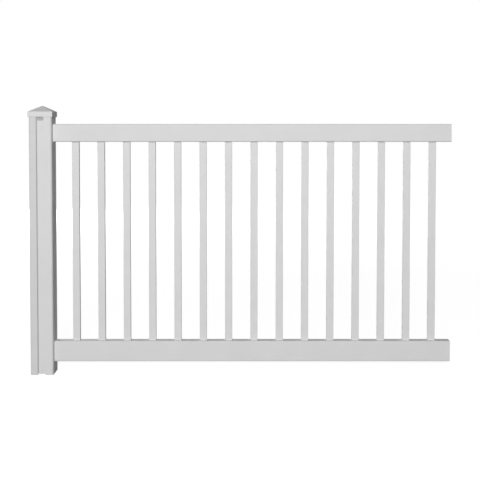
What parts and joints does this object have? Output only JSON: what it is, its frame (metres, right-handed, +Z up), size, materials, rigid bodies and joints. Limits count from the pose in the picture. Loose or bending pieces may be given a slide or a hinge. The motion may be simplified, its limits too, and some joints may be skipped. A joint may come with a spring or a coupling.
{
  "type": "vinyl fence panel",
  "caption": "White vinyl fence panel with a snap-together post, pyramid cap, two hollow rails and upright pickets.",
  "frame": {"origin": "middle of the post's foot, on the ground", "axes": "+X along the panel away from the post, -Y out of the front, +Z up"},
  "size_m": [2.1253, 0.1234, 1.357],
  "materials": {
    "post_vinyl": "white extruded vinyl, low gloss",
    "cap_vinyl": "white moulded vinyl, low gloss",
    "rail_vinyl": "white extruded vinyl, low gloss",
    "picket_vinyl": "white extruded vinyl, low gloss"
  },
  "bodies": {
    "root": {"post_channel": "post_vinyl", "post_strip": "post_vinyl", "post_cap": "cap_vinyl", "top_rail": "rail_vinyl", "bottom_rail": "rail_vinyl", "picket_01": "picket_vinyl", "picket_02": "picket_vinyl", "picket_03": "picket_vinyl", "picket_04": "picket_vinyl", "picket_05": "picket_vinyl", "picket_06": "picket_vinyl", "picket_07": "picket_vinyl", "picket_08": "picket_vinyl", "picket_09": "picket_vinyl", "picket_10": "picket_vinyl", "picket_11": "picket_vinyl", "picket_12": "picket_vinyl", "picket_13": "picket_vinyl", "picket_14": "picket_vinyl", "picket_15": "picket_vinyl"}
  },
  "joints": []
}
